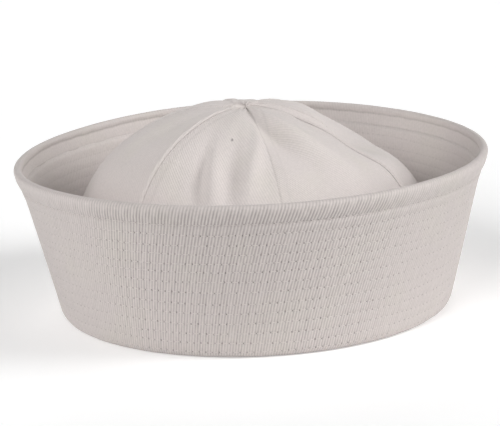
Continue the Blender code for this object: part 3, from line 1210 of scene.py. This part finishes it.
@dataclass(frozen=True)
class CrownForm:
    """The crown's shape: a soft round dome, higher at the left, with a gathered apex.

    Attributes:
        radius: Outer radius at the foot.
        height: Height of the apex.
        foot: Height of the foot.
        side_fullness: Exponent of height in the profile.
        top_fullness: Exponent of radius in the profile.
        tip: Radius at which the gores end.
        dimple: How far the gathered apex sinks.
        dimple_radius: Radius of that dimple.
        shift_x: How far the apex lies towards +X.
        shift_y: How far the apex lies towards +Y.
        tilt: Share of the height by which the +X shoulder sits lower.
        held: Height up to which the sewn foot holds the cloth smooth.
        gore_length: Length of a gore's cloth up its middle, which its patterns are laid out on.
        folds: The soft folds.
    """

    radius: float = FOOT_RADIUS
    height: float = 0.1003
    foot: float = 0.0015
    side_fullness: float = 3.05
    top_fullness: float = 1.65
    tip: float = 0.0003
    dimple: float = 0.0022
    dimple_radius: float = 0.016
    shift_x: float = -0.0015
    shift_y: float = 0.0007
    tilt: float = 0.041
    held: float = 0.016
    gore_length: float = 0.155
    folds: tuple[Fold, ...] = (
        Fold(-42.0, 0.50, 10.0, 0.26, 0.0, -0.034),
        Fold(-21.5, 0.44, 2.9, 0.15, -18.0, 0.020),
        Fold(-15.5, 0.46, 3.3, 0.15, -18.0, -0.020),
        Fold(-7.5, 0.48, 4.6, 0.18, 0.0, 0.026),
        Fold(2.0, 0.51, 4.2, 0.17, 31.0, -0.025),
        Fold(19.0, 0.67, 8.0, 0.19, -50.0, 0.036),
        Fold(34.0, 0.68, 7.5, 0.19, -50.0, -0.036),
        Fold(64.0, 0.71, 6.5, 0.11, 60.0, 0.020),
        Fold(81.0, 0.72, 8.0, 0.12, 60.0, -0.018),
        Fold(92.0, 0.56, 24.0, 0.13, 0.0, 0.085),
        Fold(78.0, 0.41, 14.0, 0.08, 0.0, -0.026),
        Fold(110.0, 0.78, 26.0, 0.14, 0.0, -0.022),
        Fold(-70.0, 0.62, 16.0, 0.16, 0.0, 0.014),
        Fold(160.0, 0.52, 9.0, 0.22, 12.0, 0.020),
        Fold(222.0, 0.50, 8.0, 0.20, -14.0, 0.018),
    )

    def profile(self, level: np.ndarray) -> tuple[np.ndarray, np.ndarray]:
        """Radius and height of the smooth crown."""
        angle = math.pi / 2 * np.clip(level, 0.0, 1.0)
        share = np.maximum(0.0, np.cos(angle)) ** (2 / self.top_fullness)
        radius = self.tip + (self.radius - self.tip) * share
        height = self.foot + (self.height - self.foot) * np.sin(angle) ** (2 / self.side_fullness)
        return radius, height

    def normal(self, level: np.ndarray) -> tuple[np.ndarray, np.ndarray]:
        """Outward and upward parts of the direction square to the profile."""
        step = 0.01
        low_radius, low_height = self.profile(np.maximum(0.0, level - step))
        high_radius, high_height = self.profile(np.minimum(1.0, level + step))
        along = np.hypot(high_radius - low_radius, high_height - low_height)
        return (high_height - low_height) / along, (low_radius - high_radius) / along

    def fold_depth(self, azimuth: np.ndarray, level: np.ndarray) -> np.ndarray:
        """How far the soft folds take the cloth inwards."""
        depth = np.zeros(len(azimuth))
        for fold in self.folds:
            middle = fold.azimuth + fold.lean * (level - fold.level)
            across = turn_between(azimuth, middle) / fold.spread
            depth += fold.depth * bell(across) * bell((level - fold.level) / fold.reach)
        return depth * self.radius

    def place(self, azimuth: np.ndarray, level: np.ndarray, raised: np.ndarray) -> np.ndarray:
        """Points of the crown's outer face.

        Args:
            azimuth: Degrees from the front.
            level: Share of the way from foot to apex.
            raised: Height above the folded surface.

        Returns:
            One row of x, y and z for each point.
        """
        radius, height = self.profile(level)
        out, up = self.normal(level)
        raised = (raised - self.fold_depth(azimuth, level)) * smooth_step((height - self.foot) / self.held)
        turn = np.radians(azimuth)
        share = (height - self.foot) / (self.height - self.foot)
        height = height * (1.0 - self.tilt * np.sin(turn) * radius / self.radius * share)
        height = height - self.dimple * bell(radius / self.dimple_radius)
        radius = radius + raised * out
        return np.stack(
            (
                radius * np.sin(turn) + self.shift_x * share**2,
                -radius * np.cos(turn) + self.shift_y * share**2,
                height + raised * up,
            ),
            -1,
        )


class Seam(NamedTuple):
    """A felled seam of the crown."""

    azimuth: float
    lap: float  # width of the lap to the +azimuth side of the seam
    rise: float  # height of that lap
    bead: float  # height of the rounded edge on the seam's other side
    shade: float  # how dark the painted shade along the seam's line is, from 0 to 1


SEAMS = (
    Seam(-41.0, 0.0040, 0.0000, 0.0007, 0.1),
    Seam(11.0, 0.0040, 0.0002, 0.0001, 0.3),
    Seam(68.0, 0.0045, 0.0007, 0.0002, 0.6),
    Seam(130.0, 0.0045, 0.0005, 0.0002, 0.3),
    Seam(191.0, 0.0045, 0.0005, 0.0002, 0.3),
    Seam(254.0, 0.0045, 0.0005, 0.0002, 0.3),
)


@dataclass
class Crown:
    """The crown: six gores, felled together and gathered at the apex.

    Attributes:
        form: The crown's shape.
        clearance: Gap between two gores.
        puff: How far a gore stands out between its seams.
        pucker: Height of the small puckers that stitches draw up beside a lap.
        far_pucker: Height of those on a seam's other side.
        pucker_pitch: Distance between two puckers.
        gathers: Height of the gathers round the apex.
        gather_count: Gathers round the apex.
        limp: How far soft cloth wanders off the even shape.
        limpness: The waves in which it wanders.
        topstitch: Length of a topstitch.
        columns: Faces across a gore.
        rows: Faces up a gore.
        crowding: How much the columns crowd towards both seams.
    """

    form: CrownForm = field(default_factory=CrownForm)
    clearance: float = 0.00002
    puff: float = 0.0006
    pucker: float = 0.00010
    far_pucker: float = 0.00007
    pucker_pitch: float = 0.0034
    gathers: float = 0.00038
    gather_count: int = 17
    limp: float = 0.00032
    limpness: Wander = Wander(seed=23, slowest=3, fastest=18, climb=90.0)
    topstitch: float = 0.0027
    columns: int = 64
    rows: int = 110
    crowding: float = 0.62

    def _puckers(self, along: np.ndarray, from_lap: np.ndarray, from_last: np.ndarray) -> np.ndarray:
        """Small puckers where stitches draw up the cloth beside a seam.

        Args:
            along: Length of cloth from the foot.
            from_lap: Distance from the edge of the first seam's lap.
            from_last: Distance from the last seam.

        Returns:
            Their height.
        """
        near_place, near_width = 0.0012, 0.0016
        far_place, far_width = 0.0030, 0.0018
        unevenness, uneven_rate = 1.3, 190.0  # how far the puckers stray from an even pitch, and how often
        far_rate = 0.9  # they come a little further apart on the far side
        phase = math.tau * along / self.pucker_pitch
        uneven = phase + unevenness * np.sin(along * uneven_rate)
        near = self.pucker * np.sin(uneven) * bell((from_lap - near_place) / near_width)
        far = self.far_pucker * np.sin(phase * far_rate) * bell((from_last - far_place) / far_width)
        return near + far

    def _relief(
        self,
        azimuth: np.ndarray,
        level: np.ndarray,
        share: np.ndarray,
        seams: tuple[Seam, Seam],
        width: np.ndarray,
    ) -> np.ndarray:
        """Height of a gore's cloth above the folded surface.

        Args:
            azimuth: Degrees from the front.
            level: Share of the way from foot to apex.
            share: Share of the way from the gore's first seam to its last.
            seams: Those two seams.
            width: Width of the gore at that level.

        Returns:
            Height of its puff, laps, puckers, gathers and slow waves.
        """
        lap_fall, edge_rise = 0.0011, 0.0007  # widths over which a lap falls and its edge rises
        edge_height = 0.35  # height of that edge, as a share of the lap's
        bead_place, bead_width = 0.0017, 0.0014
        gather_ring, ring_width = 0.0055, 0.0050  # where the gathers are highest
        gather_turn = 1.1  # turns the gathers round the apex
        sewn_end, limp_end = 0.012, 0.03  # radii within which laps and slow waves die out at the apex
        first, last = seams
        radius, _ = self.form.profile(level)
        from_first = share * width
        from_last = (1.0 - share) * width
        along = level * self.form.gore_length
        slack = self.puff * np.sin(math.pi * np.clip(level, 0, 1)) ** 0.5 * np.sin(math.pi * share)
        lap = first.rise * (1.0 - smooth_step((from_first - first.lap) / lap_fall))
        lap = lap * (edge_height + (1.0 - edge_height) * smooth_step(from_first / edge_rise))
        bead = last.bead * bell((from_last - bead_place) / bead_width)
        pucker = self._puckers(along, from_first - first.lap, from_last)
        sewn = (lap + bead + pucker) * smooth_step(radius / sewn_end)
        turns = np.sin(np.radians(azimuth) * self.gather_count + gather_turn)
        gathers = self.gathers * turns * bell((radius - gather_ring) / ring_width)
        limp = self.limp * self.limpness.at(azimuth, along) * smooth_step(radius / limp_end)
        return slack + sewn + gathers + limp

    def _seam_shade(
        self, from_first: np.ndarray, from_last: np.ndarray, seams: tuple[Seam, Seam]
    ) -> np.ndarray:
        """Painted shade in the needle line beside the lap and in the grooves along both seams."""
        line_place, line_width, line_shade = 0.0005, 0.0006, 0.3
        seam_width, far_seam_width = 0.0005, 0.0004
        first, last = seams
        needle_line = bell((from_first - first.lap - line_place) / line_width) * line_shade
        seam = bell(from_first / seam_width) * first.shade
        far_seam = bell(from_last / far_seam_width) * last.shade / 2
        return np.clip(needle_line + seam + far_seam, 0.0, 1.0)

    def build_gore(self, number: int) -> bpy.types.Object:
        """One gore, from its seam's lap to the next seam."""
        steady, shade_end = 0.004, 0.008  # radii within which the gap narrows and the painted shade dies out
        seams = SEAMS[number], SEAMS[(number + 1) % len(SEAMS)]
        span = (seams[1].azimuth - seams[0].azimuth) % 360.0
        cloth = ClothMesh(f"crown_gore_{number + 1}_cloth", self.columns, self.rows)
        level = cloth.grid.row / self.rows
        radius, _ = self.form.profile(level)
        margin = np.degrees(self.clearance / 2 / np.maximum(radius, steady))
        even = cloth.grid.column / self.columns
        share = even - self.crowding * np.sin(math.tau * even) / math.tau
        azimuth = seams[0].azimuth + margin + (span - 2 * margin) * share
        width = radius * np.radians(span - 2 * margin)
        relief = self._relief(azimuth, level, share, seams, width)
        cloth.bend(self.form.place(azimuth, level, relief))
        across = np.radians(azimuth - seams[0].azimuth - span / 2) * radius
        cloth.lay_out(CLOTH_MAP, across, level * self.form.gore_length)
        # Painted shade along the seams, which the finish reads as the crevice attribute
        shade = self._seam_shade(share * width, (1 - share) * width, seams)
        cloth.note(CREVICE, shade * smooth_step(radius / shade_end))
        made = cloth.close()
        cloth.thicken(PLY)
        return made

    def _seam_line(self, seam: Seam, offset: float) -> StitchLine:
        """Stitches up a seam's lap, offset metres to its +azimuth side."""
        above = 0.002  # a point this far over the cloth shows which way is out
        first_level, last_level, samples = 0.02, 0.985, 600
        converge = 0.006  # radius within which the rows draw together
        gore_turn, least_width = 1.05, 0.004  # radians that a gore goes round, and the least it spans
        fine = np.linspace(first_level, last_level, samples)
        radius, _ = self.form.profile(fine)
        azimuth = seam.azimuth + np.degrees(offset / np.maximum(radius, converge))
        share = np.abs(offset) / np.maximum(radius * gore_turn, least_width)
        slack = self.puff * np.sin(math.pi * fine) ** 0.5 * np.sin(math.pi * share)
        path = self.form.place(azimuth, fine, seam.rise + slack)
        lengths = running_total(np.linalg.norm(np.diff(path, axis=0), axis=1))
        marks = np.arange(0.0, lengths[-1], self.topstitch)
        level, azimuth, slack = (np.interp(marks, lengths, values) for values in (fine, azimuth, slack))
        points = self.form.place(azimuth, level, seam.rise + slack)
        proud = self.form.place(azimuth, level, seam.rise + slack + above)
        return StitchLine(points[:-1], points[1:], unit(proud - points)[:-1])

    def build_stitches(self) -> bpy.types.Object:
        """The two rows of topstitching along each seam."""
        from_lap_edge, from_seam = 0.0006, 0.0009
        lines = []
        for seam in SEAMS:
            lines += [self._seam_line(seam, seam.lap - from_lap_edge), self._seam_line(seam, from_seam)]
        return Stitching("crown_stitches", lines, radius=0.00011, arch=0.00022, dip=0.00026).build()

    def build(self, finishes: Finishes) -> None:
        """Builds and dresses the whole crown."""
        for number in range(len(SEAMS)):
            dress(self.build_gore(number), finishes.crown, f"crown_gore_{number + 1}")
        dress(self.build_stitches(), finishes.thread)


# Studio


class Lamp(NamedTuple):
    """A wide, distant studio light."""

    name: str
    azimuth: float
    elevation: float
    softness: float  # degrees of sky that it fills
    strength: float


@dataclass(frozen=True)
class Studio:
    """A white table top in soft studio light, and the camera.

    Attributes:
        aim: The point that the camera was aimed at.
        distance: From the aim to the camera.
        elevation: Degrees by which the camera looks down.
        roll: Degrees by which the picture is turned anticlockwise.
        slide: How far the camera stands off the aim, to its right and up.
        lens: Focal length in millimetres.
        sensor: Width of the sensor in millimetres.
        lamps: The only lights, in front of black surroundings.
        glow: Light that the lit table gives off by itself.
        table_size: Half the width of the table top.
    """

    aim: tuple[float, float, float] = (0.0, 0.0, 0.045)
    distance: float = 1.5
    elevation: float = 14.17
    roll: float = 2.37
    slide: tuple[float, float] = (-0.00137, 0.0002)
    lens: float = 222.48
    sensor: float = 36.0
    lamps: tuple[Lamp, ...] = (
        Lamp("key_light", 80.0, 34.0, 30.0, 1.7),
        Lamp("low_key_light", 70.0, 14.0, 30.0, 1.2),
        Lamp("front_light", -28.0, 34.0, 35.0, 1.78),
        Lamp("side_light", -90.0, 14.0, 30.0, 1.2),
        Lamp("back_light", 180.0, 14.0, 40.0, 0.8),
    )
    glow: float = 0.2
    table_size: float = 6.0

    def _out(self, azimuth: float, elevation: float) -> Vector:
        """Unit direction from the aim towards an azimuth and an elevation."""
        turn, rise = math.radians(azimuth), math.radians(elevation)
        return Vector((math.sin(turn) * math.cos(rise), -math.cos(turn) * math.cos(rise), math.sin(rise)))

    def _facing(self, out: Vector, distance: float) -> Matrix:
        """Place of something that looks at the aim from a direction and a distance."""
        turned = (-out).to_track_quat("-Z", "Y").to_matrix().to_4x4()
        return Matrix.Translation(Vector(self.aim) + out * distance) @ turned

    def add_camera(self) -> None:
        """Adds the camera and makes it the scene's."""
        lens = bpy.data.cameras.new("camera")
        lens.lens = self.lens
        lens.sensor_width = self.sensor
        lens.sensor_fit = "HORIZONTAL"
        lens.clip_start = 0.05
        camera = bpy.data.objects.new("camera", lens)
        rolled = self._facing(self._out(0.0, self.elevation), self.distance) @ Matrix.Rotation(
            -math.radians(self.roll), 4, "Z"
        )
        camera.matrix_world = rolled @ Matrix.Translation((*self.slide, 0.0))
        bpy.context.scene.collection.objects.link(camera)
        bpy.context.scene.camera = camera

    def add_lights(self) -> None:
        """Adds the lamps and the black surroundings."""
        for lamp in self.lamps:
            data = bpy.data.lights.new(lamp.name, "SUN")
            data.angle = math.radians(lamp.softness)
            data.energy = lamp.strength
            light = bpy.data.objects.new(lamp.name, data)
            light.matrix_world = self._facing(self._out(lamp.azimuth, lamp.elevation), 1.0)
            bpy.context.scene.collection.objects.link(light)
        world = bpy.data.worlds.new("studio")
        world.use_nodes = True
        world.node_tree.nodes["Background"].inputs["Strength"].default_value = 0.0
        bpy.context.scene.world = world

    def add_floor(self) -> None:
        """Adds the lit white table top."""
        bm = bmesh.new()
        bmesh.ops.create_grid(bm, x_segments=1, y_segments=1, size=self.table_size)
        mesh = bpy.data.meshes.new("floor")
        bm.to_mesh(mesh)
        bm.free()
        floor = bpy.data.objects.new("floor", mesh)
        # White painted board, so evenly lit that it reads as a plain white ground
        mesh.materials.append(PlainFinish("white_table", "F7F7F7", roughness=0.8, glow=self.glow).make())
        bpy.context.scene.collection.objects.link(floor)

    def build(self) -> None:
        """Builds the studio."""
        self.add_floor()
        self.add_lights()
        self.add_camera()
        bpy.context.scene.view_settings.view_transform = "Standard"


def main() -> None:
    """Builds the cap and its studio, and writes how many triangles each of the cap's new pieces has."""
    logging.basicConfig(level=logging.INFO, format="%(message)s")
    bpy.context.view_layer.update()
    finishes = Finishes()
    Brim().build(finishes)
    Crown().build(finishes)
    Studio().build()
    bpy.context.view_layer.update()


if __name__ == "__main__":
    main()
